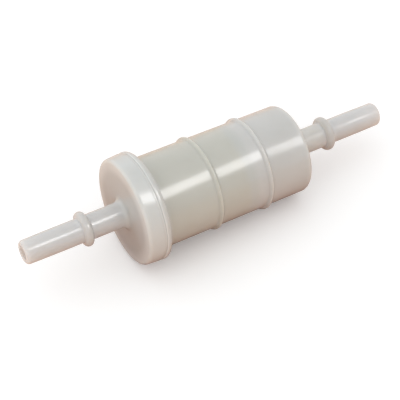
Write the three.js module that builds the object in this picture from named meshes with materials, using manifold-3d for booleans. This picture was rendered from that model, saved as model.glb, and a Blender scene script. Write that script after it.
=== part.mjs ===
// In-line fuel filter: a welded two-piece translucent shell with a quick-connect spigot at each end,
// and a pleated paper element sealed inside it.
// Millimetres, +Z up. The filter lies along X with its origin on its axis, at the middle of the shell.
// The end cap and the outlet are at -X, the canister's closed end and the inlet are at +X.
import * as THREE from "three";
import { mergeVertices } from "three/addons/utils/BufferGeometryUtils.js";
import Module from "manifold-3d";

const wasm = await Module();
wasm.setup();

// ---- Driving dimensions -------------------------------------------------------------------------------
// Stations run along the axis from the end cap's front face towards the inlet.

const TURN_SEGMENTS = 36; // facets round every turned piece

// Shell
const shellLength = 60.8; // end cap face to canister end face
const canisterRadius = 14.85; // outside, at the mouth
const canisterDraft = 0.15; // radius lost from the mouth to the closed end
const canisterWall = 1.8;
const canisterEndWall = 2.0;
const canisterEndRound = 1.6;
const shoulderHeight = 0.6; // step in the bore that stops the element

// Weld joint between the end cap and the canister
const flangeHeight = 3.05; // how far the flange stands out from the canister
const flangeThickness = 2.3;
const flangeFrontRound = 0.6;
const flangeRearRound = 1.6;
const capLength = 5.1; // front face to weld face
const capFaceThickness = 2.2;
const capSetback = 0.1; // how far the cap's weld face stands inside the flange
const capDraft = 0.25; // radius lost from the weld face to the front face
const capEdgeRound = 1.2;
const capRearRound = 0.25;
const weldLand = 0.6; // axial room for the weld between cap and flange
const weldRecess = 0.12; // depth of the groove that shows round the joint
const mouthClearance = 0.3; // canister mouth to cap, radially and axially

// Hoop ribs moulded round the canister
const ribStations = [26.75, 45.1];
const ribWidth = 1.7;
const ribHeight = 0.82;
const ribFlatness = 2.0;

// Quick-connect spigot, 5/16 in end form, the same on both ends
const spigotRadius = 3.95;
const spigotTipDraft = 0.08; // radius lost over the tip's taper
const spigotTipTaper = 9.0;
const spigotTipRound = 1.2;
const spigotBoreRadius = 2.5;
const stemSwell = 0.15; // how much thicker the stem is than the spigot
const stemRootRound = 2.2;
const faceToBead = 13.8;
const beadToTip = 20.6;
const beadHeight = 1.6;
const beadWidth = 2.8;
const beadFlatness = 2.5;

// Boss inside the end cap, and the seal round it
const bossWall = 1.8;
const bossClearance = 0.3; // boss to the open end disc
const sealSection = 1.8; // O-ring section diameter
const sealRoom = 3.8; // cap's inner face to the element

// Filter element
const elementLength = 34.4; // outside face to outside face of the end discs
const flowAnnulus = 1.15; // radial room for fuel between element and canister
const discThickness = 1.2;
const cupWall = 0.6;
const cupDepth = 1.8;
const pottingThickness = 1.15;
const collarWall = 1.25;
const collarLength = 3.0;
const hubLength = 1.6; // closed disc's pip inside the core
const coreSeat = 1.1; // open disc's face inside the core
const coreWall = 0.8;
const coreWindowLength = 3.4;
const coreWindowWidth = 3.6;
const coreWindowPitch = 5.6;
const coreWindowsRound = 6;
const lugCount = 6;
const lugWidth = 3.0;

// Pleated paper and the clip on its side seam
const pleatDepth = 4.5;
const pleatPitch = 2.15; // between pleats, at their outer ends
const paperThickness = 0.45;
const innerFoldRadius = 0.31;
const outerFoldRadius = 0.45;
const clipWall = 0.35;
const clipDepth = 1.8;
const seamAngle = THREE.MathUtils.degToRad(215);

// Clearances
const seatGap = 0.05; // between pieces that rest on each other
const slideGap = 0.2; // between pieces that slide together at assembly

// ---- Sizes that follow from the driving dimensions ----------------------------------------------------

const stemRadius = spigotRadius + stemSwell;
const spigotTipRadius = spigotRadius - spigotTipDraft;

const canisterBore = canisterRadius - canisterWall;
const flangeRadius = canisterRadius + flangeHeight;
const flangeStation = capLength + weldLand;
const capWeldRadius = flangeRadius - capSetback;
const capFrontRadius = capWeldRadius - capDraft;
const capSkirtBore = canisterRadius + mouthClearance;
const mouthStation = capFaceThickness + mouthClearance;
const elementStation = capFaceThickness + sealRoom;
const shoulderStation = elementStation + elementLength + seatGap;

const bossRadius = spigotBoreRadius + bossWall;
const bossLength = sealRoom - bossClearance;
const discRadius = canisterBore - flowAnnulus;
const cupRadius = discRadius - cupWall;
const paperOuterRadius = cupRadius - slideGap;
const paperInnerRadius = paperOuterRadius - pleatDepth;
const coreOuterRadius = paperInnerRadius - slideGap;
const coreInnerRadius = coreOuterRadius - coreWall;
const discBore = coreInnerRadius - coreSeat;
const pleatCount = Math.round((2 * Math.PI * paperOuterRadius) / pleatPitch);
const pottingStation = discThickness + seatGap;
const paperStation = pottingStation + pottingThickness + seatGap;
const paperLength = elementLength - 2 * paperStation;

// ---- Materials ----------------------------------------------------------------------------------------

const plastic = (name, color, roughness) =>
  new THREE.MeshStandardMaterial({ name, color, roughness, metalness: 0 });
const materials = {
  shell: plastic("shell_nylon", 0xcfcdc4, 0.28),
  weld: plastic("weld_nylon", 0xc4c1b6, 0.45),
  disc: plastic("element_plastic", 0xe4e4df, 0.5),
  core: plastic("core_plastic", 0xdcdad2, 0.5),
  paper: plastic("filter_paper", 0xc9b45c, 0.9),
  potting: plastic("potting_resin", 0xb98d4a, 0.6),
  seal: plastic("seal_rubber", 0x1c1c1e, 0.6),
  clip: new THREE.MeshStandardMaterial({
    name: "clip_steel",
    color: 0xb4b6b8,
    roughness: 0.35,
    metalness: 1,
  }),
};

// ---- Geometry helpers ---------------------------------------------------------------------------------
// A profile is a list of [station, radius] pairs in the half plane beside the axis.

// Points on a round stretch, from angle `from` to angle `to` in degrees; 0 points along the axis, 90 outwards.
function arc(station, radius, round, from, to, steps = 3) {
  return Array.from({ length: steps + 1 }, (_, i) => {
    const a = THREE.MathUtils.degToRad(from + ((to - from) * i) / steps);
    return [station + round * Math.cos(a), radius + round * Math.sin(a)];
  });
}

// A rounded ridge of the given width and height, standing on the line from one radius to another.
// A flatness of 2 makes it an ellipse, more makes it squarer.
function ridge(station, width, height, flatness, radiusBefore, radiusAfter = radiusBefore) {
  const steps = 6;
  return Array.from({ length: steps + 1 }, (_, i) => {
    const along = (2 * i) / steps - 1;
    const foot = along < 0 ? radiusBefore : radiusAfter;
    const crown = (radiusBefore + radiusAfter) / 2 + height;
    const share = Math.sqrt(1 - Math.abs(along) ** flatness);
    return [station + (along * width) / 2, foot + (crown - foot) * share];
  });
}

// Turns a profile about the axis, which is +Y of the geometry. The profile may run either way round.
function turned(profile) {
  const points = profile.map(([station, radius]) => new THREE.Vector2(radius, station));
  if (points[0].x > 0) points.push(points[0].clone());
  const clockwise = THREE.ShapeUtils.area(points) < 0;
  return new THREE.LatheGeometry(clockwise ? points.reverse() : points, TURN_SEGMENTS);
}

function toSolid(geometry) {
  const bare = new THREE.BufferGeometry();
  const source = geometry.index ? geometry.toNonIndexed() : geometry;
  bare.setAttribute("position", source.getAttribute("position"));
  const merged = mergeVertices(bare, 1e-4);
  return new wasm.Manifold(
    new wasm.Mesh({
      numProp: 3,
      vertProperties: merged.attributes.position.array,
      triVerts: new Uint32Array(merged.index.array),
    }),
  );
}

function toGeometry(solid) {
  const mesh = solid.getMesh();
  const geometry = new THREE.BufferGeometry();
  geometry.setAttribute("position", new THREE.BufferAttribute(mesh.vertProperties, 3));
  geometry.setIndex(new THREE.BufferAttribute(mesh.triVerts, 1));
  geometry.computeVertexNormals();
  return geometry;
}

function piece(name, geometry, material, station = 0) {
  const mesh = new THREE.Mesh(geometry, material);
  mesh.name = name;
  mesh.position.y = station;
  return mesh;
}

// ---- Shell --------------------------------------------------------------------------------------------

// Outline of a spigot from its root on a flat face at station 0 to the mouth of its bore.
function spigotProfile() {
  const tip = faceToBead + beadToTip;
  return [
    ...arc(stemRootRound, stemRadius + stemRootRound, stemRootRound, 180, 270),
    ...ridge(faceToBead, beadWidth, beadHeight, beadFlatness, stemRadius, spigotRadius),
    [tip - spigotTipTaper, spigotRadius],
    ...arc(tip - spigotTipRound, spigotTipRadius - spigotTipRound, spigotTipRound, 90, 0),
    [tip, spigotBoreRadius],
  ];
}

// Outside radius of the canister, which narrows towards its closed end.
function canisterRadiusAt(station) {
  return canisterRadius - (canisterDraft * (station - flangeStation)) / (shellLength - flangeStation);
}

function canister() {
  const flangeEnd = flangeStation + flangeThickness;
  const endRadius = canisterRadiusAt(shellLength);
  const chamberRadius = canisterBore - shoulderHeight;
  const chamberEnd = shellLength - canisterEndWall;
  return turned([
    [mouthStation, canisterBore],
    [mouthStation, canisterRadius],
    [flangeStation, canisterRadius],
    ...arc(flangeStation + flangeFrontRound, flangeRadius - flangeFrontRound, flangeFrontRound, 180, 90),
    ...arc(flangeEnd - flangeRearRound, flangeRadius - flangeRearRound, flangeRearRound, 90, 0),
    [flangeEnd, canisterRadiusAt(flangeEnd)],
    ...ribStations.flatMap((at) => ridge(at, ribWidth, ribHeight, ribFlatness, canisterRadiusAt(at))),
    ...arc(shellLength - canisterEndRound, endRadius - canisterEndRound, canisterEndRound, 90, 0),
    ...spigotProfile().map(([station, radius]) => [shellLength + station, radius]),
    [chamberEnd, spigotBoreRadius],
    ...arc(chamberEnd - canisterEndRound, chamberRadius - canisterEndRound, canisterEndRound, 0, 90, 2),
    [shoulderStation, chamberRadius],
    [shoulderStation, canisterBore],
  ]);
}

function endCap() {
  return turned([
    ...spigotProfile()
      .reverse()
      .map(([station, radius]) => [-station, radius]),
    ...arc(capEdgeRound, capFrontRadius - capEdgeRound, capEdgeRound, 180, 90),
    ...arc(capLength - capRearRound, capWeldRadius - capRearRound, capRearRound, 90, 0),
    [capLength, capSkirtBore],
    [capFaceThickness, capSkirtBore],
    [capFaceThickness, bossRadius],
    [capFaceThickness + bossLength, bossRadius],
    [capFaceThickness + bossLength, spigotBoreRadius],
  ]);
}

// Ring of fused nylon that joins the cap's weld face to the canister's flange.
function weldSeam() {
  const outer = capWeldRadius - weldRecess;
  const width = weldLand - 2 * seatGap;
  return turned([
    [0, capSkirtBore],
    ...arc(width / 2, outer - width / 2, width / 2, 180, 0, 4),
    [width, capSkirtBore],
  ]);
}

// ---- Filter element: stations run from its open end disc's outside face --------------------------------

// Cup-shaped disc bonded to the core and the pleats, open in the middle, with a collar for the seal.
function openEndDisc() {
  const collarBore = bossRadius + sealSection + 2 * seatGap;
  return turned([
    [-collarLength, collarBore],
    [-collarLength, collarBore + collarWall],
    [0, collarBore + collarWall],
    [0, discRadius],
    [discThickness + cupDepth, discRadius],
    [discThickness + cupDepth, cupRadius],
    [discThickness, cupRadius],
    [discThickness, discBore],
    [0, discBore],
    [0, collarBore],
  ]);
}

// Closed disc with a pip in the core, and lugs that centre it in the canister and rest on the shoulder.
function closedEndDisc() {
  const pipRadius = coreInnerRadius - slideGap;
  const inside = -discThickness;
  const plate = turned([
    [0, 0],
    [0, discRadius],
    [inside - cupDepth, discRadius],
    [inside - cupDepth, cupRadius],
    [inside, cupRadius],
    [inside, pipRadius],
    [inside - hubLength, pipRadius],
    [inside - hubLength, 0],
  ]);
  let disc = toSolid(plate);
  const lugReach = canisterBore - slideGap;
  const lugLength = lugReach - cupRadius - cupWall / 2;
  for (let i = 0; i < lugCount; i++) {
    const lug = new THREE.BoxGeometry(lugLength, discThickness, lugWidth);
    lug.translate(lugReach - lugLength / 2, inside / 2, 0);
    lug.rotateY((i * 2 * Math.PI) / lugCount);
    disc = disc.add(toSolid(lug));
  }
  return toGeometry(disc);
}

// Tube with rows of windows that holds the pleats open.
function supportCore() {
  const length = elementLength - 2 * (discThickness + seatGap);
  const tube = turned([
    [0, coreInnerRadius],
    [0, coreOuterRadius],
    [length, coreOuterRadius],
    [length, coreInnerRadius],
  ]);
  let core = toSolid(tube);
  const rows = Math.floor((length - 2 * cupDepth - coreWindowLength) / coreWindowPitch) + 1;
  const firstRow = (length - (rows - 1) * coreWindowPitch) / 2;
  for (let row = 0; row < rows; row++) {
    const stagger = row % 2 ? Math.PI / coreWindowsRound : 0;
    for (let i = 0; i < coreWindowsRound; i++) {
      const window = new THREE.BoxGeometry(2 * coreWall + coreInnerRadius, coreWindowLength, coreWindowWidth);
      window.translate(coreOuterRadius, firstRow + row * coreWindowPitch, 0);
      window.rotateY((i * 2 * Math.PI) / coreWindowsRound + stagger);
      core = core.subtract(toSolid(window));
    }
  }
  return toGeometry(core);
}

// Ring of resin that bonds the pleats into an end disc's cup.
function pottingRing() {
  return turned([
    [0, coreOuterRadius + slideGap],
    [0, cupRadius - seatGap],
    [pottingThickness, cupRadius - seatGap],
    [pottingThickness, coreOuterRadius + slideGap],
  ]);
}

// One loop of the pleated strip's edge, offset from its middle line by `offset`.
function pleatLoop(offset) {
  const foldSteps = 3;
  const points = [];
  const fold = (angle, foldCentre, radius, inward) => {
    for (let i = 0; i <= foldSteps; i++) {
      const sweep = (Math.PI * i) / foldSteps - Math.PI / 2;
      const turn = inward ? Math.PI - sweep : sweep;
      const reach = radius + (inward ? -offset : offset);
      const along = foldCentre + reach * Math.cos(turn);
      const across = reach * Math.sin(turn);
      points.push(
        new THREE.Vector2(
          along * Math.cos(angle) - across * Math.sin(angle),
          along * Math.sin(angle) + across * Math.cos(angle),
        ),
      );
    }
  };
  const half = paperThickness / 2;
  const innerCentre = paperInnerRadius + half + innerFoldRadius;
  const outerCentre = paperOuterRadius - half - outerFoldRadius;
  const seamFoldRadius = half + seatGap / 2;
  const seamCentre = paperOuterRadius - clipWall - slideGap - half - seamFoldRadius;
  for (let pleat = 0; pleat < pleatCount; pleat++) {
    const angle = (pleat * 2 * Math.PI) / pleatCount;
    const isSeam = pleat === 0;
    fold(angle, isSeam ? seamCentre : outerCentre, isSeam ? seamFoldRadius : outerFoldRadius, false);
    fold(angle + Math.PI / pleatCount, innerCentre, innerFoldRadius, true);
  }
  return points;
}

// Extrudes a shape drawn across the axis, so that its depth runs along +Y, the axis.
function extrudedAlongAxis(shape, depth) {
  const geometry = new THREE.ExtrudeGeometry(shape, { depth, bevelEnabled: false });
  return geometry.rotateX(-Math.PI / 2);
}

function filterMedia() {
  const half = paperThickness / 2;
  const strip = new THREE.Shape(pleatLoop(half));
  strip.holes.push(new THREE.Path(pleatLoop(-half)));
  return extrudedAlongAxis(strip, paperLength);
}

// Channel crimped over the two ends of the paper strip.
function seamClip() {
  const slot = paperThickness + slideGap;
  const side = slot + clipWall;
  const top = paperOuterRadius;
  const floor = top - clipWall;
  const foot = top - clipDepth;
  const channel = new THREE.Shape();
  channel.moveTo(foot, slot);
  channel.lineTo(floor, slot);
  channel.lineTo(floor, -slot);
  channel.lineTo(foot, -slot);
  channel.lineTo(foot, -side);
  channel.lineTo(top, -side);
  channel.lineTo(top, side);
  channel.lineTo(foot, side);
  const length = elementLength - 2 * (discThickness + cupDepth + slideGap);
  return extrudedAlongAxis(channel, length);
}

// O-ring round the cap's boss, inside the open disc's collar.
function elementSeal() {
  const section = sealSection / 2;
  const steps = 8;
  return turned(arc(0, bossRadius + section + seatGap, section, 0, 360 - 360 / steps, steps - 1));
}

// ---- Assembly -----------------------------------------------------------------------------------------

const shell = new THREE.Group();
shell.add(
  piece("canister", canister(), materials.shell),
  piece("end_cap", endCap(), materials.shell),
  piece("weld_seam", weldSeam(), materials.weld, capLength + seatGap),
);

const pleats = new THREE.Group();
pleats.rotation.y = seamAngle;
pleats.add(
  piece("filter_media", filterMedia(), materials.paper, paperStation),
  piece("media_seam_clip", seamClip(), materials.clip, discThickness + cupDepth + slideGap),
);

const element = new THREE.Group();
element.position.y = elementStation;
element.add(
  pleats,
  piece("open_end_disc", openEndDisc(), materials.disc),
  piece("closed_end_disc", closedEndDisc(), materials.disc, elementLength),
  piece("support_core", supportCore(), materials.core, discThickness + seatGap),
  piece("open_end_potting", pottingRing(), materials.potting, pottingStation),
  piece(
    "closed_end_potting",
    pottingRing(),
    materials.potting,
    elementLength - pottingStation - pottingThickness,
  ),
  piece("element_seal", elementSeal(), materials.seal, -sealSection / 2 - seatGap),
);

// The stack is built up the Y axis, then laid down along X with its middle at the origin.
const filter = new THREE.Group();
filter.name = "fuel_filter";
filter.rotation.z = -Math.PI / 2;
filter.position.x = -shellLength / 2;
filter.add(shell, element);

export default filter;
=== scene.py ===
"""Builds the finish of an in-line fuel filter round its packed solids.

The filter is a welded two-piece shell of milky nylon with a quick-connect spigot at each end. A pleated
paper element is sealed inside it. Everything is in metres, in the frame of the packed model: the axis
lies along X, the end cap and outlet are at -X, the closed end of the canister and the inlet are at +X.
"""

import math
import random

import bmesh
import bpy
from mathutils import Matrix, Vector


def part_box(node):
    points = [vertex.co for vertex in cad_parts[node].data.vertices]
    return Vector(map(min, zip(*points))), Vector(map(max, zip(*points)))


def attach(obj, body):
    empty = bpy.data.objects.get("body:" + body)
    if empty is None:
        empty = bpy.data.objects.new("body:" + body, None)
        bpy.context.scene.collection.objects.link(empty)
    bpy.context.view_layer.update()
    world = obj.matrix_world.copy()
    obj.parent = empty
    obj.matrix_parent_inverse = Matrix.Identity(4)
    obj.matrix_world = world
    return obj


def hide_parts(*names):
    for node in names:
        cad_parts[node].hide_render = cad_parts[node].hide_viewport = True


bl_info = {
    "name": "Fuel Filter",
    "version": (1, 0, 0),
    "blender": (4, 5, 0),
    "location": "3D View > Sidebar > Fuel Filter",
    "description": "Builds a welded in-line fuel filter with its pleated element",
    "category": "Object",
}

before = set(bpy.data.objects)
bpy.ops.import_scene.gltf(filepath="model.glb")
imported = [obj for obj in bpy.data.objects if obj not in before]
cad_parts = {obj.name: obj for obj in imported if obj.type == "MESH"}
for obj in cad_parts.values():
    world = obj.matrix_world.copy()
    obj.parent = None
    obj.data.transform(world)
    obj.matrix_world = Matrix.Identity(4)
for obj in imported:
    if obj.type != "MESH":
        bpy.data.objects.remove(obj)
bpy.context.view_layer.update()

MM = 0.001
SAME_PLACE = 1e-7  # points closer than this are one
TURN_SEGMENTS = 144
RING_SEGMENTS = 96
SHARP_ANGLE = math.radians(35)
BLUNT_ANGLE = math.radians(60)
AIM = (-8.49 * MM, -9.45 * MM, 2.93 * MM)
BEAD_FLATNESS = 2.5  # 2 is an ellipse, more is squarer


# ---- Sizes and colours that a user may change ----


def length(name, description, millimetres):
    """A length property whose default is given in millimetres."""
    size = millimetres * MM
    kind = {"precision": 5, "subtype": "DISTANCE", "unit": "LENGTH"}
    return bpy.props.FloatProperty(name=name, description=description, default=size, min=0.0, **kind)


def angle(name, description, degrees):
    """An angle property whose default is given in degrees."""
    kind = {"subtype": "ANGLE", "unit": "ROTATION"}
    return bpy.props.FloatProperty(name=name, description=description, default=math.radians(degrees), **kind)


def count(name, description, number):
    """A property that counts pieces set round a circle."""
    return bpy.props.IntProperty(name=name, description=description, default=number, min=3)


def colour(name, description, rgb):
    """A colour property in linear light."""
    kind = {"size": 4, "min": 0.0, "max": 1.0, "subtype": "COLOR"}
    return bpy.props.FloatVectorProperty(name=name, description=description, default=(*rgb, 1.0), **kind)


class FilterShellSizes(bpy.types.PropertyGroup):
    """Sizes of the end cap and the canister."""

    canister_radius: length("Canister radius", "Outside radius at the mouth", 14.85)
    canister_draft: length("Canister draft", "Radius lost towards the closed end", 0.15)
    canister_wall: length("Canister wall", "Thickness of its side", 1.8)
    end_wall: length("End wall", "Thickness of its closed end", 2.0)
    end_round: length("End round", "Round at its closed end", 1.6)
    shoulder: length("Shoulder", "Step in the bore that stops the element", 0.6)
    flange_thickness: length("Flange thickness", "Width of the weld flange", 2.3)
    rib_width: length("Rib width", "Width of a hoop rib at its foot", 2.25)
    rib_height: length("Rib height", "How far a hoop rib stands out", 0.82)
    first_rib: length("First rib", "Cap face to the middle of the first rib", 26.75)
    second_rib: length("Second rib", "Cap face to the middle of the second rib", 45.1)
    cap_length: length("Cap length", "Front face to weld face", 5.1)
    cap_face: length("Cap face", "Thickness of the cap's face", 2.2)
    cap_draft: length("Cap draft", "Radius lost towards the cap's face", 0.25)
    cap_edge_round: length("Cap edge round", "Round at the cap's front edge", 1.2)
    cap_rear_round: length("Cap rear round", "Round at the cap's weld face", 0.25)
    flange_front_round: length("Flange front round", "Round at the flange's weld face", 0.6)
    flange_rear_round: length("Flange rear round", "Round behind the flange", 1.6)
    foot_round: length("Foot round", "Fillet at the foot of the flange", 0.45)
    weld_crown: length("Weld crown", "Rise of the weld in its middle", 0.04)
    weld_swell: length("Weld swell", "Unevenness of the weld round the joint", 0.04)
    skirt_clearance: length("Skirt clearance", "Canister to the cap's skirt", 0.3)
    boss_wall: length("Boss wall", "Wall of the boss that carries the seal", 1.8)
    moulded_edge: length("Moulded edge", "Small round on every other moulded edge", 0.2)


class FilterSpigotSizes(bpy.types.PropertyGroup):
    """Sizes of the quick-connect spigots, which are alike."""

    radius: length("Radius", "Sealing radius of the spigot", 3.95)
    tip_draft: length("Tip draft", "Radius lost over the tip's taper", 0.08)
    tip_taper: length("Tip taper", "Length of the tip's taper", 9.0)
    tip_round: length("Tip round", "Round at the tip's edge", 1.2)
    bore: length("Bore", "Radius of the fuel bore", 2.5)
    mouth_chamfer: length("Mouth chamfer", "Round at the mouth of the bore", 0.12)
    stem_swell: length("Stem swell", "How much thicker the stem is", 0.15)
    root_round: length("Root round", "Round where the stem meets its face", 2.2)
    to_bead: length("To bead", "Face to the middle of the retaining bead", 13.8)
    to_tip: length("To tip", "Middle of the bead to the tip", 20.6)
    bead_height: length("Bead height", "How far the retaining bead stands out", 1.6)
    bead_width: length("Bead width", "Width of the retaining bead", 2.8)
    bead_foot_round: length("Bead foot round", "Fillet at the foot of the bead", 0.4)


class FilterElementSizes(bpy.types.PropertyGroup):
    """Sizes of the pleated element."""

    seat_gap: length("Seat gap", "Between pieces that rest on each other", 0.05)
    slide_gap: length("Slide gap", "Between pieces that slide into each other", 0.2)
    disc: length("Disc", "Thickness of an end disc", 1.2)
    cup_wall: length("Cup wall", "Wall of an end disc's rim", 0.6)
    collar_wall: length("Collar wall", "Wall of the seal's collar", 1.25)
    lug_width: length("Lug width", "Width of a centring lug", 3.0)
    lugs: count("Lugs", "Centring lugs round the closed disc", 6)
    disc_edge: length("Disc edge", "Small round on the discs' edges", 0.25)
    paper: length("Paper", "Thickness of the filter paper", 0.45)
    inner_fold: length("Inner fold", "Radius of the paper's inner folds", 0.31)
    outer_fold: length("Outer fold", "Radius of the paper's outer folds", 0.45)
    core_wall: length("Core wall", "Wall of the support core", 0.8)
    core_seat: length("Core seat", "How far an end disc carries on inside the core", 1.1)
    core_edge: length("Core edge", "Small round on the core's edges", 0.12)
    end_land: length("End land", "Plain stretch at each end of the core", 1.8)
    window_length: length("Window length", "Length of a window in the core", 3.4)
    window_pitch: length("Window pitch", "Between the rows of windows", 5.6)
    clip_wall: length("Clip wall", "Thickness of the seam clip", 0.35)
    clip_depth: length("Clip depth", "How far the clip reaches down the seam", 1.8)
    crimp_pitch: length("Crimp pitch", "Between the crimps in the clip", 3.5)
    crimp_depth: length("Crimp depth", "How far a crimp pinches the clip", 0.08)
    resin_sag: length("Resin sag", "How far the resin dips between the rims", 0.12)
    pleats: count("Pleats", "Number of pleats", 32)
    windows: count("Windows", "Windows in one row", 6)


class FilterColours(bpy.types.PropertyGroup):
    """Colours of the filter's materials."""

    nylon: colour("Nylon", "Natural nylon of the shell where it is thick", (0.655, 0.665, 0.65))
    cloud: colour("Cloud", "Faint darker streaks in the nylon", (0.35, 0.33, 0.28))
    over_paper: colour("Over paper", "Thin wall over the paper", (0.55, 0.55, 0.50))
    over_disc: colour("Over disc", "Thin wall over the closed disc", (0.55, 0.56, 0.535))
    over_chamber: colour("Over chamber", "Thin wall over fuel space", (0.59, 0.59, 0.575))
    over_hollow: colour("Over hollow", "Face over the cap's hollow", (0.50, 0.50, 0.485))
    spigot: colour("Spigot", "Thin tube of a spigot", (0.62, 0.615, 0.61))
    dull_stem: colour("Dull stem", "Inlet's stem, which is duller than the rest", (0.68, 0.665, 0.635))
    bead: colour("Bead", "Thicker nylon of a retaining bead", (0.53, 0.525, 0.515))
    # Painted light: a lighter tint on the tube at each bead's feet, standing in for light through the bead
    # and lifting the shade at the feet.
    bead_foot_painted_light: colour("Bead foot", "Tube beside a bead, lit through the bead", (0.68, 0.675, 0.67))
    # Painted light: a lighter tint inside the bore, standing in for light through the tube.
    bore: colour("Bore", "Inside of a fuel bore, lit through the tube", (0.66, 0.645, 0.635))
    flange: colour("Flange", "Canister's weld flange", (0.60, 0.605, 0.59))
    # Painted light: a lighter strip on the flange's edge at the weld, lifting the shade in the groove.
    weld_edge_painted_light: colour("Lip", "Flange's edge beside the weld", (0.74, 0.74, 0.72))
    weld: colour("Weld", "Fused nylon of the weld", (0.665, 0.665, 0.64))
    paper: colour("Paper", "Resin-treated filter paper", (0.50, 0.47, 0.20))
    paper_dark: colour("Paper fibres", "Darker fibres of the paper", (0.38, 0.35, 0.14))
    disc: colour("End disc", "Moulded end discs", (0.62, 0.64, 0.66))
    core: colour("Core", "Moulded support core", (0.70, 0.69, 0.63))
    potting: colour("Potting", "Resin that bonds the paper", (0.34, 0.20, 0.07))
    seal: colour("Seal", "Rubber of the O-ring", (0.012, 0.012, 0.013))
    steel: colour("Steel", "Plated steel of the seam clip", (0.60, 0.60, 0.61))
    floor: colour("Floor", "Studio floor", (1.0, 1.0, 1.0))
    bounce: colour("Bounce", "Light that the floor gives back", (0.85, 0.62, 0.48))
    bounce_near: colour("Bounce near", "The same beside the filter", (0.38, 0.19, 0.13))


class FilterStageSettings(bpy.types.PropertyGroup):
    """Camera and lights."""

    azimuth: angle("Azimuth", "Direction of view, from +Y towards +X", 30.14)
    elevation: angle("Elevation", "How far the camera looks down", 44.0)
    side_light: bpy.props.FloatProperty(
        name="Side light", description="How much brighter the outlet side is lit", default=0.25, max=1.0
    )
    distance: length("Distance", "Camera to the point it aims at", 414.9)
    lens: bpy.props.FloatProperty(
        name="Lens", description="Focal length on a 36 mm sensor", default=120.4, min=1.0
    )
    aim: bpy.props.FloatVectorProperty(
        name="Aim", description="Point that the camera aims at", default=AIM, subtype="XYZ", unit="LENGTH"
    )


GROUPS = {
    "filter_shell": FilterShellSizes,
    "filter_spigot": FilterSpigotSizes,
    "filter_element": FilterElementSizes,
    "filter_colours": FilterColours,
    "filter_stage": FilterStageSettings,
}


# ---- Places that come from the packed model ----


class Stations:
    """Where the pieces lie along X, and how far the packed solids reach from the axis."""

    def __init__(self, scene):
        self.shell = scene.filter_shell
        spigot = scene.filter_spigot
        cap_low, cap_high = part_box("end_cap")
        can_low, can_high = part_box("canister")
        self.cap_front = cap_low.x + spigot.to_bead + spigot.to_tip
        self.can_end = can_high.x - spigot.to_bead - spigot.to_tip
        self.boss_end = cap_high.x
        self.mouth = can_low.x
        self.flange_radius = can_high.z
        self.cap_radius = cap_high.z
        weld_low, weld_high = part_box("weld_seam")
        self.weld_radius = weld_high.z
        self.flange_front = weld_high.x + (weld_low.x - self.cap_front - self.shell.cap_length)
        clip_low, clip_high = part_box("media_seam_clip")
        self.seam_angle = math.atan2(clip_low.z + clip_high.z, clip_low.y + clip_high.y)

    def canister_radius(self, x):
        """Outside radius of the canister, which loses its draft towards the closed end."""
        run = self.can_end - self.flange_front
        return self.shell.canister_radius - self.shell.canister_draft * (x - self.flange_front) / run


# ---- Mesh helpers ----


def arc(x, radius, size, start, end, steps=10):
    """Points on a round stretch of a profile; 0 degrees points along the axis, 90 outwards."""
    angles = [math.radians(start + (end - start) * i / steps) for i in range(steps + 1)]
    return [(x + size * math.cos(a), radius + size * math.sin(a)) for a in angles]


def bead(spigot, stem, steps=24):
    """A retaining bead on a profile, between the stem and the tube, with a small fillet at each foot."""
    x, tube, fillet = spigot.to_bead, spigot.radius, spigot.bead_foot_round
    crown = (stem + tube) / 2 + spigot.bead_height
    points = []
    for i in range(steps + 1):
        along = -math.cos(math.pi * i / steps)
        foot = stem if along < 0 else tube
        radius = foot + (crown - foot) * math.sqrt(max(0.0, 1 - abs(along) ** BEAD_FLATNESS))
        if radius > foot + fillet:
            points.append((x + along * spigot.bead_width / 2, radius))
    reach = points[0][0] - x - fillet
    before = arc(x + reach, stem + fillet, fillet, 270, 360, 5)
    after = arc(x - reach, tube + fillet, fillet, 180, 270, 5)
    return before + points + after


def swell(x, width, height, base, steps=20):
    """A soft rib on a profile: it rises out of the wall and sinks back into it without an edge."""
    points = []
    for i in range(steps + 1):
        t = i / steps
        points.append((x + (t - 0.5) * width, base + height * (1 - math.cos(2 * math.pi * t)) / 2))
    return points


def rounded(corners, size, steps=5):
    """Rounds the corners of an open run of profile points; the first and last point stay."""
    points = [corners[0]]
    for before, corner, after in zip(corners, corners[1:], corners[2:]):
        here = Vector(corner)
        back = Vector(before) - here
        ahead = Vector(after) - here
        reach = min(size, back.length * 0.45, ahead.length * 0.45)
        start = here + back.normalized() * reach
        end = here + ahead.normalized() * reach
        for i in range(steps + 1):
            t = i / steps
            point = start * (1 - t) ** 2 + here * 2 * t * (1 - t) + end * t**2
            points.append(point[:])
    points.append(corners[-1])
    return points


def turned(profile, segments=TURN_SEGMENTS, closed=True, wobble=None):
    """A solid of revolution about X. A profile that isn't closed starts and ends on the axis."""
    bm = bmesh.new()
    rings = []
    for x, radius in profile:
        if radius < SAME_PLACE:
            rings.append([bm.verts.new((x, 0, 0))])
            continue
        ring = []
        for i in range(segments):
            a = 2 * math.pi * i / segments
            reach = radius + (wobble(radius, a) if wobble else 0.0)
            ring.append(bm.verts.new((x, reach * math.cos(a), reach * math.sin(a))))
        rings.append(ring)
    skinned(bm, rings + rings[:1] if closed else rings)
    return bm


def skinned(bm, rings):
    """Lays faces between rings of vertices that follow each other; a ring may be a single vertex."""
    for one, two in zip(rings, rings[1:]):
        around = max(len(one), len(two))
        for i in range(around):
            j = (i + 1) % around
            corners = (one[i % len(one)], one[j % len(one)], two[j % len(two)], two[i % len(two)])
            face = list(dict.fromkeys(corners))
            if len(face) > 2:
                bm.faces.new(face)


def added(name, data):
    """Adds an object that holds this data to the scene."""
    thing = bpy.data.objects.new(name, data)
    bpy.context.scene.collection.objects.link(thing)
    return thing


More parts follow.
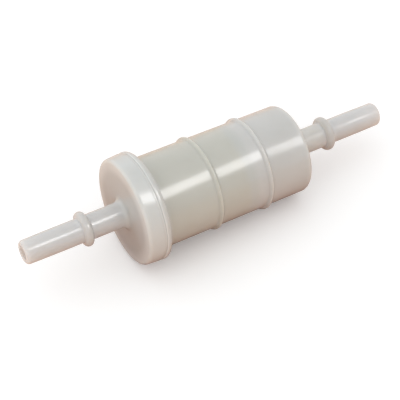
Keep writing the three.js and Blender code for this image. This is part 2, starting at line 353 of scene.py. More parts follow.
def joined(one, two):
    """Joins the solids of two bmeshes into one closed skin, and frees both."""
    pair = []
    for bm in (one, two):
        bmesh.ops.recalc_face_normals(bm, faces=bm.faces)
        mesh = bpy.data.meshes.new("solid")
        bm.to_mesh(mesh)
        bm.free()
        pair.append(added("solid", mesh))
    union = pair[0].modifiers.new("union", "BOOLEAN")
    union.operation = "UNION"
    union.solver = "EXACT"
    union.object = pair[1]
    whole = bmesh.new()
    whole.from_object(pair[0], bpy.context.evaluated_depsgraph_get())
    for solid in pair:
        bpy.data.meshes.remove(solid.data)
    return whole


def eased(bm, edges, size):
    """Takes the sharpness off some edges."""
    bmesh.ops.bevel(bm, geom=edges, offset=size, segments=2, affect="EDGES", profile=0.5)


def finish_mesh(bm, name, finish, node, sharp=SHARP_ANGLE):
    """Turns a bmesh into a piece that stands for a packed node."""
    bmesh.ops.remove_doubles(bm, verts=bm.verts, dist=SAME_PLACE)
    bmesh.ops.recalc_face_normals(bm, faces=bm.faces)
    for face in bm.faces:
        face.smooth = True
    for edge in bm.edges:
        edge.smooth = len(edge.link_faces) == 2 and edge.calc_face_angle(0.0) < sharp
    mesh = bpy.data.meshes.new(name)
    bm.to_mesh(mesh)
    bm.free()
    piece = added(name, mesh)
    mesh.materials.append(material(finish))
    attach(piece, "root")
    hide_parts(node)


# ---- Materials ----


class Nodes:
    """The node tree of a new material or world, and short ways to add to it."""

    # Places of a Mix node's colour sockets, which share their names with other sockets.
    MIX_ONE, MIX_TWO, MIX_RESULT = 6, 7, 2

    def __init__(self, name, kind="materials"):
        self.owner = getattr(bpy.data, kind).new(name)
        self.owner.use_nodes = True
        self.tree = self.owner.node_tree
        self.frames = self.add("ShaderNodeTexCoord").outputs
        self.place = self.frames["Object"]

    def add(self, kind, **settings):
        """Adds a node with its own settings."""
        node = self.tree.nodes.new(kind)
        for key, value in settings.items():
            setattr(node, key, value)
        return node

    def feed(self, socket, value):
        """Gives a socket a value, or what comes out of another socket."""
        if isinstance(value, bpy.types.NodeSocket):
            self.tree.links.new(value, socket)
        else:
            socket.default_value = value

    def fill(self, node, **inputs):
        """Feeds a node's sockets by their names; an underscore stands for a space."""
        for name, value in inputs.items():
            self.feed(node.inputs[name.replace("_", " ")], value)
        return node

    def surface(self, **inputs):
        """Feeds the shader, and returns the finished material."""
        self.fill(self.tree.nodes["Principled BSDF"], **inputs)
        return self.owner

    def x_of(self, vector):
        return self.fill(self.add("ShaderNodeSeparateXYZ"), Vector=vector).outputs["X"]

    def noise(self, scale, detail=4.0, roughness=0.5, stretch=None):
        """Noise in the frame of the piece; scale is in features per metre."""
        place = self.place
        if stretch:
            place = self.fill(self.add("ShaderNodeMapping"), Vector=place, Scale=stretch).outputs["Vector"]
        noise = self.add("ShaderNodeTexNoise")
        self.fill(noise, Vector=place, Scale=scale, Detail=detail, Roughness=roughness)
        return noise.outputs["Fac"]

    def math(self, operation, one, two=0.0):
        """Works on one value or two."""
        node = self.add("ShaderNodeMath", operation=operation)
        self.feed(node.inputs[0], one)
        self.feed(node.inputs[1], two)
        return node.outputs["Value"]

    def vector(self, operation, one, two=(0.0, 0.0, 0.0)):
        """Works on one vector or two."""
        node = self.add("ShaderNodeVectorMath", operation=operation)
        self.feed(node.inputs[0], one)
        self.feed(node.inputs[1], two)
        return node.outputs["Value" if operation == "LENGTH" else "Vector"]

    def range(self, value, low, high, to_low, to_high, kind="LINEAR"):
        """Maps a value from one range to another."""
        node = self.add("ShaderNodeMapRange", interpolation_type=kind)
        self.fill(node, Value=value, From_Min=low, From_Max=high, To_Min=to_low, To_Max=to_high)
        return node.outputs["Result"]

    def fade(self, value, off, on):
        """Goes smoothly from 0 where the value is off to 1 where it is on; on may be the lower one."""
        return self.range(value, off, on, 0.0, 1.0, "SMOOTHSTEP")

    def spread(self, noise, low, high, half=0.2):
        """Spreads the middle of a noise, half each way, over a range."""
        return self.range(noise, 0.5 - half, 0.5 + half, low, high)

    def mix(self, factor, one, two):
        """Mixes two colours."""
        node = self.fill(self.add("ShaderNodeMix", data_type="RGBA"), Factor=factor)
        self.feed(node.inputs[self.MIX_ONE], one)
        self.feed(node.inputs[self.MIX_TWO], two)
        return node.outputs[self.MIX_RESULT]

    def bump(self, height, strength, distance):
        """The surface raised by a height map; distance is in metres."""
        node = self.fill(self.add("ShaderNodeBump"), Height=height, Strength=strength, Distance=distance)
        return node.outputs["Normal"]


GLOSS = {"Specular_IOR_Level": 0.25, "Coat_Roughness": 0.2, "Coat_IOR": 1.5}


def shade(rgba, factor):
    """A colour made darker or lighter."""
    return (*(min(1.0, c * factor) for c in rgba[:3]), 1.0)


class ShellNylon(Nodes):
    """Milky natural nylon, tinted by how thick it is and by what lies behind its thin wall, with painted
    light beside the beads, inside the bores and on the flange's edge at the weld.

    Each tint fills a zone with soft edges, which are set off from the shell's own sizes.
    """

    SOFT = 3.0 * MM

    def __init__(self, scene):
        super().__init__("shell_nylon")
        self.colours = scene.filter_colours
        self.at = Stations(scene)
        self.side = scene.filter_shell.canister_radius
        self.x = self.x_of(self.place)
        self.from_middle = self.math("ABSOLUTE", self.x)
        self.from_axis = self.vector("LENGTH", self.vector("MULTIPLY", self.place, (0.0, 1.0, 1.0)))
        self.tint = self.colours.nylon

    def wash(self, colour, *masks):
        """Lays a colour over the tint where all the masks are on, and returns where that is."""
        where = masks[0]
        for mask in masks[1:]:
            where = self.math("MULTIPLY", where, mask)
        self.tint = self.mix(where, self.tint, colour)
        return where

    def wall(self):
        """The canister's side, which shows the paper, the closed disc and the fuel space behind it."""
        thin = self.fade(self.from_axis, off=self.side + 3.0 * MM, on=self.side + 0.8 * MM)
        disc, chamber = (corner.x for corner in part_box("closed_end_disc"))
        for start, seen in (
            (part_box("filter_media")[0].x, self.colours.over_paper),
            (disc, self.colours.over_disc),
            (chamber, self.colours.over_chamber),
            (self.at.can_end - 1.4 * MM, self.colours.nylon),
        ):
            self.wash(seen, self.fade(self.x, start - self.SOFT / 2, start + self.SOFT / 2), thin)

    def cap_face(self, boss):
        """The cap's face, which shows the hollow between the boss and the skirt behind it."""
        front = self.at.cap_front
        face = self.fade(self.x, off=front + 2.0 * MM, on=front + 0.5 * MM)
        past_boss = self.fade(self.from_axis, off=boss - 0.3 * MM, on=boss + 1.1 * MM)
        within_skirt = self.fade(self.from_axis, off=self.side + 1.3 * MM, on=self.side - 2.7 * MM)
        self.wash(self.colours.over_hollow, face, past_boss, within_skirt)

    def flange(self):
        """The weld flange, and painted light on its lip beside the weld groove."""
        front = self.at.flange_front
        behind_weld = self.fade(self.x, off=front, on=front + 0.3 * MM)
        past_side = self.fade(self.from_axis, off=self.side + 1.2 * MM, on=self.side + 1.8 * MM)
        flange = self.wash(self.colours.flange, behind_weld, past_side)
        # Painted light: a lighter strip on the flange's edge beside the weld, lifting the shade in the
        # groove.
        from_painted_light_edge = self.math("ABSOLUTE", self.math("SUBTRACT", self.x, front + 0.1 * MM))
        self.wash(self.colours.weld_edge_painted_light, flange, self.fade(from_painted_light_edge, off=0.5 * MM, on=0.2 * MM))

    def spigots(self, spigot):
        """The tubes, the duller stem of the inlet, the beads, and the bores; the tube beside each bead and
        the inside of each bore get painted light.

        Returns where the tubes and the dull stem are.
        """
        face = self.at.can_end
        stem = spigot.radius + spigot.stem_swell
        bead_x = face + spigot.to_bead
        bore = spigot.bore
        outside = self.fade(self.from_middle, off=face, on=face + self.SOFT)
        past_root = self.fade(self.from_middle, off=face + 2.2 * MM, on=face + 4.2 * MM)
        within_stem = self.fade(self.from_axis, off=stem + 1.9 * MM, on=stem)
        tube = self.wash(self.colours.spigot, outside, self.math("MAXIMUM", past_root, within_stem))
        past_face = self.fade(self.x, off=face + 0.5 * MM, on=face + 0.5 * MM + self.SOFT)
        before_bead = self.fade(self.x, off=bead_x + self.SOFT / 2, on=bead_x)
        dull = self.wash(self.colours.dull_stem, past_face, before_bead)
        thick = self.fade(self.from_axis, off=stem, on=stem + spigot.bead_height)
        self.wash(self.colours.bead, tube, thick)
        # Painted light: the tube beside each bead is made lighter, standing in for light through the bead.
        from_bead = self.math("ABSOLUTE", self.math("SUBTRACT", self.from_middle, bead_x))
        beside = self.fade(from_bead, off=3.2 * MM, on=1.6 * MM)
        self.wash(self.colours.bead_foot_painted_light, tube, beside, self.fade(thick, off=0.35, on=0.05))
        # Painted light: the inside of the bore is made lighter, standing in for light through the tube.
        self.wash(self.colours.bore, self.fade(self.from_axis, off=bore + 0.3 * MM, on=bore + 0.1 * MM))
        return tube, dull


def nylon_material(scene):
    """The nylon of both halves of the shell. Its tubes scatter light further, and it has a moulded gloss."""
    m = ShellNylon(scene)
    m.wall()
    m.cap_face(scene.filter_spigot.bore + scene.filter_shell.boss_wall)
    m.flange()
    tube, dull = m.spigots(scene.filter_spigot)
    cloud = m.spread(m.noise(110.0, detail=3.0, stretch=(0.7, 1.0, 1.0)), 0.0, 0.13)
    return m.surface(
        Base_Color=m.mix(cloud, m.tint, scene.filter_colours.cloud),
        Roughness=m.spread(m.noise(2200.0, detail=2.0), 0.52, 0.6, half=0.15),
        Normal=m.bump(m.noise(800.0, detail=3.0), 0.35, 0.02 * MM),
        Subsurface_Weight=1.0,
        Subsurface_Radius=(1.0, 0.92, 0.84),
        Subsurface_Scale=m.range(tube, 0.0, 1.0, 1.2 * MM, 4.5 * MM),
        Coat_Weight=m.range(dull, 0.0, 1.0, 1.0, 0.2),
        **GLOSS,
        IOR=1.5,
    )


def weld_material(colours):
    """Nylon that was melted and pressed out in the weld."""
    m = Nodes("weld_nylon")
    return m.surface(
        Base_Color=m.mix(m.noise(1500.0, detail=3.0), shade(colours.weld, 0.93), colours.weld),
        Roughness=m.spread(m.noise(2500.0), 0.4, 0.6),
        Normal=m.bump(m.noise(1800.0), 0.25, 0.03 * MM),
        Coat_Weight=1.0,
        **GLOSS,
    )


def paper_material(colours):
    """Resin-treated filter paper with crossing fibres."""
    m = Nodes("filter_paper")
    fibres = m.noise(2600.0, detail=6.0, roughness=0.7, stretch=(0.3, 1.0, 1.0))
    tone = m.mix(m.spread(fibres, 0.0, 1.0, half=0.15), colours.paper_dark, colours.paper)
    patches = m.spread(m.noise(260.0, detail=2.0), 0.0, 0.35)
    return m.surface(
        Base_Color=m.mix(patches, tone, shade(colours.paper, 1.15)),
        Roughness=0.9,
        Normal=m.bump(fibres, 0.5, 0.06 * MM),
        Sheen_Weight=0.15,
        Sheen_Roughness=0.5,
    )


def moulded_material(name, rgba, roughness):
    """An opaque moulded plastic with a fine texture."""
    m = Nodes(name)
    return m.surface(
        Base_Color=m.mix(m.noise(300.0, detail=3.0), shade(rgba, 0.93), rgba),
        Roughness=m.spread(m.noise(3000.0), roughness - 0.05, roughness + 0.05),
        Normal=m.bump(m.noise(4000.0, detail=2.0), 0.2, 0.02 * MM),
        Subsurface_Weight=0.25,
        Subsurface_Radius=(1.0, 0.8, 0.6),
        Subsurface_Scale=1.0 * MM,
    )


def potting_material(colours):
    """Cured resin, glossy and slightly cloudy."""
    m = Nodes("potting_resin")
    return m.surface(
        Base_Color=m.mix(m.noise(500.0, detail=3.0), shade(colours.potting, 0.75), colours.potting),
        Roughness=m.spread(m.noise(800.0), 0.22, 0.38),
        Normal=m.bump(m.noise(700.0, detail=2.0), 0.3, 0.05 * MM),
        Subsurface_Weight=0.4,
        Subsurface_Radius=(1.0, 0.5, 0.2),
        Subsurface_Scale=1.0 * MM,
    )


def rubber_material(colours):
    """Black fuel-proof rubber with a faint bloom."""
    m = Nodes("seal_rubber")
    return m.surface(
        Base_Color=m.mix(m.noise(900.0), colours.seal, shade(colours.seal, 2.2)),
        Roughness=m.spread(m.noise(2500.0), 0.42, 0.55),
        Normal=m.bump(m.noise(5000.0, detail=2.0), 0.15, 0.02 * MM),
    )


def steel_material(colours):
    """Plated steel strip with rolling lines along its length."""
    m = Nodes("clip_steel")
    lines = m.noise(4000.0, detail=3.0, roughness=0.6, stretch=(0.03, 1.0, 1.0))
    return m.surface(
        Base_Color=m.mix(lines, shade(colours.steel, 0.8), shade(colours.steel, 1.1)),
        Roughness=m.spread(lines, 0.28, 0.42),
        Normal=m.bump(lines, 0.2, 0.01 * MM),
        Metallic=1.0,
    )


# ---- Shell ----


def spigot_profile(spigot, face, outward):
    """Outline of a spigot from its root on a face to the mouth of its bore, out along X by sign."""
    stem = spigot.radius + spigot.stem_swell
    tip = spigot.to_bead + spigot.to_tip
    root, edge, mouth = spigot.root_round, spigot.tip_round, spigot.mouth_chamfer
    points = arc(root, stem + root, root, 180, 270) + bead(spigot, stem)
    points += [(tip - spigot.tip_taper, spigot.radius)]
    points += arc(tip - edge, spigot.radius - spigot.tip_draft - edge, edge, 90, 0)
    points += arc(tip - mouth, spigot.bore + mouth, mouth, 360, 270, 4)
    return [(face + outward * x, radius) for x, radius in points]


def end_cap_profile(scene, at):
    """Outline of the cap: out over its spigot and band, and back inside over its skirt and boss."""
    shell = scene.filter_shell
    front = at.cap_front
    weld_face = front + shell.cap_length
    inside = front + shell.cap_face
    skirt = shell.canister_radius + shell.skirt_clearance
    edge, rear = shell.cap_edge_round, shell.cap_rear_round
    outside = spigot_profile(scene.filter_spigot, front, -1)[::-1]
    outside += arc(front + edge, at.cap_radius - shell.cap_draft - edge, edge, 180, 90)
    outside += arc(weld_face - rear, at.cap_radius - rear, rear, 90, 0)
    boss = scene.filter_spigot.bore + shell.boss_wall
    inner = [outside[-1], (weld_face, skirt), (inside, skirt), (inside, boss)]
    inner += [(at.boss_end, boss), (at.boss_end, scene.filter_spigot.bore), outside[0]]
    return outside[:-1] + rounded(inner, shell.moulded_edge)[:-1]


def canister_profile(scene, at):
    """Outline of the canister: out over its flange, ribs and spigot, and back through its chamber."""
    shell = scene.filter_shell
    spigot = scene.filter_spigot
    side = shell.canister_radius
    bore = side - shell.canister_wall
    chamber = bore - shell.shoulder
    chamber_end = at.can_end - shell.end_wall
    shoulder_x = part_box("closed_end_disc")[1].x
    flange_rear = at.flange_front + shell.flange_thickness
    outside = rounded([(at.mouth, bore), (at.mouth, side), (at.flange_front, side)], shell.moulded_edge)
    edge, back, foot = shell.flange_front_round, shell.flange_rear_round, shell.foot_round
    outside += arc(at.flange_front + edge, at.flange_radius - edge, edge, 180, 90)
    outside += arc(flange_rear - back, at.flange_radius - back, back, 90, 0, 16)
    outside += arc(flange_rear + foot, at.canister_radius(flange_rear) + foot, foot, 180, 270, 5)
    for station in (shell.first_rib, shell.second_rib):
        x = at.cap_front + station
        outside += swell(x, shell.rib_width, shell.rib_height, at.canister_radius(x))
    end = shell.end_round
    outside += arc(at.can_end - end, at.canister_radius(at.can_end) - end, end, 90, 0)
    outside += spigot_profile(spigot, at.can_end, 1)
    inner = [outside[-1], (chamber_end, spigot.bore), (chamber_end, chamber)]
    inner += [(shoulder_x, chamber), (shoulder_x, bore), outside[0]]
    return outside[:-1] + rounded(inner, shell.moulded_edge * 2)[:-1]


class FUELFILTER_OT_end_cap(bpy.types.Operator):
    """Makes the end cap with the outlet spigot and the boss inside it."""

    bl_idname = "fuelfilter.end_cap"
    bl_label = "End Cap"

    def execute(self, context):
        profile = end_cap_profile(context.scene, Stations(context.scene))
        finish_mesh(turned(profile), "end_cap_shell", "shell_nylon", "end_cap")
        return {"FINISHED"}


class FUELFILTER_OT_canister(bpy.types.Operator):
    """Makes the canister with its hoop ribs, weld flange and inlet spigot."""

    bl_idname = "fuelfilter.canister"
    bl_label = "Canister"

    def execute(self, context):
        profile = canister_profile(context.scene, Stations(context.scene))
        finish_mesh(turned(profile), "canister_shell", "shell_nylon", "canister")
        return {"FINISHED"}


class FUELFILTER_OT_weld_seam(bpy.types.Operator):
    """Makes the ring of fused nylon, a little uneven where it was pressed out."""

    bl_idname = "fuelfilter.weld_seam"
    bl_label = "Weld Seam"

    def execute(self, context):
        shell = context.scene.filter_shell
        at = Stations(context.scene)
        skirt = shell.canister_radius + shell.skirt_clearance
        low, high, reach = at.cap_front + shell.cap_length, at.flange_front, at.weld_radius
        steps = 8
        crown = [(low + (high - low) * i / steps, 1 - (2 * i / steps - 1) ** 2) for i in range(steps + 1)]
        profile = [(low, skirt)]
        profile += [(x, reach - shell.weld_crown * (1 - share)) for x, share in crown]
        profile += [(high, skirt)]
        waves = ((7, 0.6, 1.0), (17, 2.0, 0.6), (41, 0.0, 0.4))
        whole = sum(share for _, _, share in waves)

        def uneven(radius, turn):
            wave = sum(share * math.sin(lobes * turn + start) for lobes, start, share in waves)
            return (radius - skirt) / (reach - skirt) * shell.weld_swell * (wave - whole) / (2 * whole)

        bm = turned(profile, 2 * TURN_SEGMENTS, wobble=uneven)
        finish_mesh(bm, "weld_ring", "weld_nylon", "weld_seam")
        return {"FINISHED"}


# ---- Filter element ----


class FUELFILTER_OT_end_discs(bpy.types.Operator):
    """Makes the open disc with its seal collar and the closed disc with its centring lugs."""

    bl_idname = "fuelfilter.end_discs"
    bl_label = "End Discs"

    def execute(self, context):
        open_disc(context.scene)
        closed_disc(context.scene)
        return {"FINISHED"}


def open_disc(scene):
    """The disc at the outlet end, open to the core, with the collar that holds the seal."""
    sizes = scene.filter_element
    low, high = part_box("open_end_disc")
    core_low, core_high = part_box("support_core")
    inside = core_low.x - sizes.seat_gap
    outside = inside - sizes.disc
    cup = high.z - sizes.cup_wall
    bore = core_high.z - sizes.core_wall - sizes.core_seat
    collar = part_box("element_seal")[1].z + sizes.seat_gap
    neck = collar + sizes.collar_wall
    start = (low.x, collar + sizes.collar_wall / 2)
    corners = [start, (low.x, neck), (outside, neck), (outside, high.z), (high.x, high.z), (high.x, cup)]
    corners += [(inside, cup), (inside, bore), (outside, bore), (outside, collar), (low.x, collar), start]
    bm = turned(rounded(corners, sizes.disc_edge)[:-1])
    finish_mesh(bm, "open_disc", "element_plastic", "open_end_disc")


def closed_disc(scene):
    """The disc at the inlet end, with a pip inside the core and lugs that centre it."""
    sizes = scene.filter_element
    low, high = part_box("closed_end_disc")
    lug_reach = max(high.z, high.y)
    disc_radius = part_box("open_end_disc")[1].z
    core_low, core_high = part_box("support_core")
    cup = disc_radius - sizes.cup_wall
    inside = high.x - sizes.disc
    rim = inside - (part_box("open_end_disc")[1].x - core_low.x + sizes.seat_gap)
    pip = core_high.z - sizes.core_wall - sizes.slide_gap
    corners = [(high.x, 0.0), (high.x, disc_radius), (rim, disc_radius), (rim, cup)]
    corners += [(inside, cup), (inside, pip), (low.x, pip), (low.x, 0.0)]
    disc = turned(rounded(corners, sizes.disc_edge), closed=False)
    lugs = bmesh.new()
    lug_length = lug_reach - cup - sizes.cup_wall / 2
    for i in range(sizes.lugs):
        spin = Matrix.Rotation(2 * math.pi * i / sizes.lugs, 4, "X")
        place = Vector((high.x - sizes.disc / 2, lug_reach - lug_length / 2, 0))
        scale = Matrix.Diagonal((sizes.disc - 2 * sizes.seat_gap, lug_length, sizes.lug_width, 1))
        made = bmesh.ops.create_cube(lugs, size=1.0, matrix=spin @ Matrix.Translation(place) @ scale)
        eased(lugs, list({e for v in made["verts"] for e in v.link_edges}), sizes.disc_edge / 2)
    finish_mesh(joined(disc, lugs), "closed_disc", "element_plastic", "closed_end_disc")


def pleat_centre_line(sizes, inner, outer, seam_angle):
    """Middle line of the pleated strip, seen along the axis, as points and outward normals."""
    half = sizes.paper / 2
    steps = 9
    most_lean, most_drop, seam_gap = 0.006, 0.08 * MM, 0.025 * MM
    wander = random.Random(11)
    rows = []
    for pleat in range(sizes.pleats):
        turn = 2 * math.pi * pleat / sizes.pleats + seam_angle
        seam = pleat == 0
        lean = 0.0 if seam else wander.uniform(-most_lean, most_lean)
        radius = half + seam_gap if seam else sizes.outer_fold
        drop = sizes.clip_wall + sizes.slide_gap if seam else wander.uniform(0.0, most_drop)
        folds = (
            (turn + lean, outer - half - radius - drop, radius, 1),
            (turn + math.pi / sizes.pleats, inner + half + sizes.inner_fold, sizes.inner_fold, -1),
        )
        for towards, centre, size, sign in folds:
            spin = Matrix.Rotation(towards, 2)
            for i in range(steps + 1):
                sweep = math.pi * i / steps - math.pi / 2
                normal = Vector((math.cos(sweep), sign * math.sin(sweep)))
                rows.append((spin @ (Vector((centre, 0)) + sign * size * normal), spin @ normal))
    return rows


class FUELFILTER_OT_filter_media(bpy.types.Operator):
    """Makes the pleated paper."""

    bl_idname = "fuelfilter.filter_media"
    bl_label = "Filter Media"

    def execute(self, context):
        sizes = context.scene.filter_element
        low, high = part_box("filter_media")
        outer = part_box("open_end_disc")[1].z - sizes.cup_wall - sizes.slide_gap
        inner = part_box("support_core")[1].z + sizes.slide_gap
        rows = pleat_centre_line(sizes, inner, outer, Stations(context.scene).seam_angle)
        half = sizes.paper / 2
        stations = 24
        bm = bmesh.new()
        skins = []
        for side in (half, -half):
            skin = []
            for k in range(stations + 1):
                x = low.x + (high.x - low.x) * k / stations
                skin.append([bm.verts.new((x, *(point + normal * side))) for point, normal in rows])
            skinned(bm, skin)
            skins.append(skin)
        for end in (0, -1):
            skinned(bm, [skin[end] for skin in skins])
        finish_mesh(bm, "pleated_paper", "filter_paper", "filter_media", BLUNT_ANGLE)
        return {"FINISHED"}


class FUELFILTER_OT_seam_clip(bpy.types.Operator):
    """Makes the crimped clip that holds the paper's side seam."""

    bl_idname = "fuelfilter.seam_clip"
    bl_label = "Seam Clip"

    def execute(self, context):
        sizes = context.scene.filter_element
        low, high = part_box("media_seam_clip")
        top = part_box("open_end_disc")[1].z - sizes.cup_wall - sizes.slide_gap
        slot = sizes.paper + sizes.slide_gap
        side = slot + sizes.clip_wall
        foot = top - sizes.clip_depth
        floor = top - sizes.clip_wall
        bend = sizes.clip_wall / 2
        outline = rounded([(foot, -side), (top, -side), (top, side), (foot, side)], bend, 4)
        outline += rounded([(foot, slot), (floor, slot), (floor, -slot), (foot, -slot)], bend, 4)
        stations = 56
        bm = bmesh.new()
        rings = []
        spin = Matrix.Rotation(Stations(context.scene).seam_angle, 4, "X")
        for k in range(stations + 1):
            x = low.x + (high.x - low.x) * k / stations
            wave = math.cos(2 * math.pi * (x - low.x) / sizes.crimp_pitch)
            pinch = sizes.crimp_depth * max(0.0, wave) ** 4
            ring = []
            for along, across in outline:
                reach = (top - along) / (top - foot)
                shift = -math.copysign(pinch * reach, across)
                ring.append(bm.verts.new(spin @ Vector((x, along, across + shift))))
            rings.append(ring)
        skinned(bm, rings)
        for ring in (rings[0], rings[-1]):
            bm.faces.new(ring)
        finish_mesh(bm, "crimped_clip", "clip_steel", "media_seam_clip")
        return {"FINISHED"}


class FUELFILTER_OT_support_core(bpy.types.Operator):
    """Makes the perforated tube inside the pleats."""

    bl_idname = "fuelfilter.support_core"
    bl_label = "Support Core"

    def execute(self, context):
        sizes = context.scene.filter_element
        low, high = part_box("support_core")
        span = high.x - low.x
        rows = int((span - 2 * sizes.end_land - sizes.window_length) / sizes.window_pitch) + 1
        first = low.x + (span - (rows - 1) * sizes.window_pitch) / 2
        edges = [low.x]
        for row in range(rows):
            centre = first + row * sizes.window_pitch
            edges += [centre - sizes.window_length / 2, centre + sizes.window_length / 2]
        edges.append(high.x)
        window = 4  # cells across a window, and across the strut beside it
        cells = sizes.windows * 2 * window
        bm = bmesh.new()
        outside, inside = {}, {}
        for k, x in enumerate(edges):
            for i in range(cells):
                a = 2 * math.pi * i / cells
                for skin, radius in ((outside, high.z), (inside, high.z - sizes.core_wall)):
                    skin[k, i] = bm.verts.new((x, radius * math.cos(a), radius * math.sin(a)))

        def solid(k, i):
            """Whether the cell after an edge is wall; the rows of windows are staggered."""
            if k < 0 or k >= len(edges) - 1:
                return False
            stagger = window if k // 2 % 2 else 0
            return k % 2 == 0 or (i + window // 2 + stagger) % (2 * window) >= window

        for k in range(len(edges) - 1):
            for i in range(cells):
                if not solid(k, i):
                    continue
                j = (i + 1) % cells
                for skin in (outside, inside):
                    bm.faces.new((skin[k, i], skin[k, j], skin[k + 1, j], skin[k + 1, i]))
                for beside, p, q in (
                    ((k - 1, i), (k, i), (k, j)),
                    ((k + 1, i), (k + 1, i), (k + 1, j)),
                    ((k, (i - 1) % cells), (k, i), (k + 1, i)),
                    ((k, j), (k, j), (k + 1, j)),
                ):
                    if not solid(*beside):
                        bm.faces.new((outside[p], outside[q], inside[q], inside[p]))
        bmesh.ops.remove_doubles(bm, verts=bm.verts, dist=SAME_PLACE)
        bmesh.ops.recalc_face_normals(bm, faces=bm.faces)
        eased(bm, [e for e in bm.edges if e.calc_face_angle(0.0) > BLUNT_ANGLE], sizes.core_edge)
        finish_mesh(bm, "perforated_core", "core_plastic", "support_core")
        return {"FINISHED"}


class FUELFILTER_OT_potting(bpy.types.Operator):
    """Makes the two rings of resin, which climb a little where they meet the rim."""

    bl_idname = "fuelfilter.potting"
    bl_label = "Potting"

    def execute(self, context):
        sizes = context.scene.filter_element
        for node, inward in (("open_end_potting", 1), ("closed_end_potting", -1)):
            low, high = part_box(node)
            inner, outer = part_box("support_core")[1].z + sizes.slide_gap, high.z
            base, top = (low.x, high.x) if inward > 0 else (high.x, low.x)
            steps = 16
            profile = [(base, outer), (base, inner)]
            for i in range(steps + 1):
                t = i / steps
                dip = sizes.resin_sag * (1 - (2 * t - 1) ** 4)
                profile.append((top - inward * dip, inner + (outer - inner) * t))
            ring = turned(profile, RING_SEGMENTS)
            finish_mesh(ring, node.replace("potting", "resin"), "potting_resin", node)
        return {"FINISHED"}


class FUELFILTER_OT_element_seal(bpy.types.Operator):
    """Makes the O-ring round the cap's boss."""

    bl_idname = "fuelfilter.element_seal"
    bl_label = "Element Seal"

    def execute(self, context):
        low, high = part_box("element_seal")
        section = (high.x - low.x) / 2
        ring = turned(arc((low.x + high.x) / 2, high.z - section, section, 0, 350, 35), RING_SEGMENTS)
        finish_mesh(ring, "seal_ring", "seal_rubber", "element_seal", BLUNT_ANGLE)
        return {"FINISHED"}


# ---- Stage ----


def floor_plane(scene):
    """A floor that carries the weld flange and the far hoop rib."""
    shell = scene.filter_shell
    at = Stations(scene)
    front = Vector((at.flange_front + shell.flange_thickness / 2, 0, -at.flange_radius))
    rib_x = at.cap_front + shell.second_rib
    rear = Vector((rib_x, 0, -at.canister_radius(rib_x) - shell.rib_height))
    slope = math.atan2(rear.z - front.z, rear.x - front.x)
    under_middle = front.lerp(rear, front.x / (front.x - rear.x))
    half = 3.0
    corners = [(-half, -half, 0), (half, -half, 0), (half, half, 0), (-half, half, 0)]
    mesh = bpy.data.meshes.new("studio_floor")
    mesh.from_pydata(corners, [], [(0, 1, 2, 3)])
    mesh.materials.append(floor_material(scene.filter_colours))
    floor = added("studio_floor", mesh)
    floor.matrix_world = Matrix.Translation(under_middle) @ Matrix.Rotation(-slope, 4, "Y")


def floor_material(colours):
    """A white floor that gives back a warmer, weaker light than it shows, weakest right beside the filter.

    It adds a little light of its own to what the camera sees, which keeps the shadow faint.
    """
    shell_half = Vector((30.0 * MM, 0.0, 0.0))
    open_floor = 60.0 * MM
    m = Nodes("studio_floor")
    seen_by_camera = m.add("ShaderNodeLightPath").outputs["Is Camera Ray"]
    grain = m.spread(m.noise(15.0, detail=2.0), 0.0, 1.0)
    past_shell = m.vector("SUBTRACT", m.vector("ABSOLUTE", m.place), shell_half)
    from_shell = m.vector("LENGTH", m.vector("MAXIMUM", past_shell))
    bounce = m.mix(m.fade(from_shell, off=0.0, on=open_floor), colours.bounce_near, colours.bounce)
    shown = m.mix(grain, shade(colours.floor, 0.98), colours.floor)
    return m.surface(
        Base_Color=m.mix(seen_by_camera, bounce, shown),
        Roughness=1.0,
        Specular_IOR_Level=0.0,
        Emission_Color=m.mix(seen_by_camera, (0.0, 0.0, 0.0, 1.0), colours.floor),
        Emission_Strength=0.1,
    )


def highlight_card():
    """A softbox whose reflection is the highlight along the top. It lights gloss only."""
    place = Vector((0.191, -0.317, 0.472))
    width_runs = Vector((0.952, -0.101, -0.29))
    data = bpy.data.lights.new("highlight_card", "AREA")
    data.shape = "RECTANGLE"
    data.size, data.size_y = 0.37, 0.21
    data.energy = 2.1
    card = added("highlight_card", data)
    back = place.normalized()
    across = (width_runs - back * back.dot(width_runs)).normalized()
    turn = Matrix((across, back.cross(across), back)).transposed().to_4x4()
    card.matrix_world = Matrix.Translation(place) @ turn
    card.visible_diffuse = False
    card.visible_transmission = False


def studio_world(stage):
    """Even white light, a little brighter on the outlet side."""
    world = Nodes("studio", "worlds")
    side = world.x_of(world.frames["Generated"])
    strength = world.range(side, -1.0, 1.0, 1.0 + stage.side_light, 1.0 - stage.side_light)
    world.fill(world.tree.nodes["Background"], Color=(1.0, 1.0, 1.0, 1.0), Strength=strength)
    return world.owner


def studio_camera(stage):
    """A camera that looks down on the filter from the outlet end."""
    data = bpy.data.cameras.new("camera")
    data.lens = stage.lens
    data.sensor_width = 36.0
    data.clip_start = 0.01
    turn, dip = stage.azimuth, stage.elevation
    ahead = Vector((math.cos(dip) * math.sin(turn), math.cos(dip) * math.cos(turn), -math.sin(dip)))
    camera = added("camera", data)
    camera.location = Vector(stage.aim) - ahead * stage.distance
    camera.rotation_euler = ahead.to_track_quat("-Z", "Y").to_euler()
    return camera


class FUELFILTER_OT_stage(bpy.types.Operator):
    """Sets the floor, the lights and the camera."""

    bl_idname = "fuelfilter.stage"
    bl_label = "Stage"

    def execute(self, context):
        scene = context.scene
        floor_plane(scene)
        highlight_card()
        scene.world = studio_world(scene.filter_stage)
        scene.camera = studio_camera(scene.filter_stage)
        return {"FINISHED"}


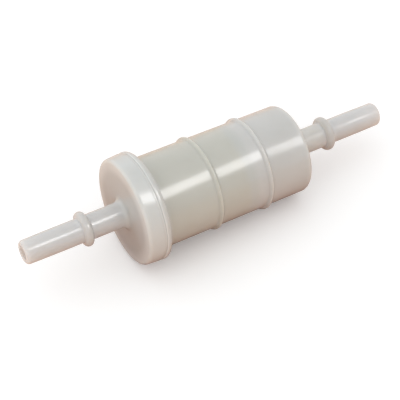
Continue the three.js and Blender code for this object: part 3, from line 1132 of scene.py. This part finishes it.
# ---- Add-on ----

MATERIALS = {}


def material(name):
    """A material made once and shared by the pieces that have that finish."""
    if not MATERIALS:
        colours = bpy.context.scene.filter_colours
        made = (
            nylon_material(bpy.context.scene),
            weld_material(colours),
            paper_material(colours),
            moulded_material("element_plastic", tuple(colours.disc), 0.45),
            moulded_material("core_plastic", tuple(colours.core), 0.5),
            potting_material(colours),
            rubber_material(colours),
            steel_material(colours),
        )
        MATERIALS.update({m.name: m for m in made})
    return MATERIALS[name]


OPERATORS = (
    FUELFILTER_OT_canister,
    FUELFILTER_OT_end_cap,
    FUELFILTER_OT_weld_seam,
    FUELFILTER_OT_end_discs,
    FUELFILTER_OT_filter_media,
    FUELFILTER_OT_seam_clip,
    FUELFILTER_OT_support_core,
    FUELFILTER_OT_potting,
    FUELFILTER_OT_element_seal,
    FUELFILTER_OT_stage,
)


class FUELFILTER_PT_panel(bpy.types.Panel):
    """Lists the filter's pieces in the sidebar."""

    bl_idname = "FUELFILTER_PT_panel"
    bl_label = "Fuel Filter"
    bl_space_type = "VIEW_3D"
    bl_region_type = "UI"
    bl_category = "Fuel Filter"

    def draw(self, context):
        for group, kind in GROUPS.items():
            box = self.layout.box()
            box.label(text=kind.__doc__.rstrip("."))
            for name in kind.__annotations__:
                box.prop(getattr(context.scene, group), name)
        for operator in OPERATORS:
            self.layout.operator(operator.bl_idname)


def register():
    for kind in (*GROUPS.values(), *OPERATORS, FUELFILTER_PT_panel):
        bpy.utils.register_class(kind)
    for group, kind in GROUPS.items():
        setattr(bpy.types.Scene, group, bpy.props.PointerProperty(type=kind))


def unregister():
    for group in GROUPS:
        delattr(bpy.types.Scene, group)
    for kind in reversed((*GROUPS.values(), *OPERATORS, FUELFILTER_PT_panel)):
        bpy.utils.unregister_class(kind)


def main():
    register()
    bpy.context.scene.view_settings.view_transform = "Standard"
    for operator in OPERATORS:
        category, name = operator.bl_idname.split(".")
        getattr(getattr(bpy.ops, category), name)()


if __name__ == "__main__":
    main()
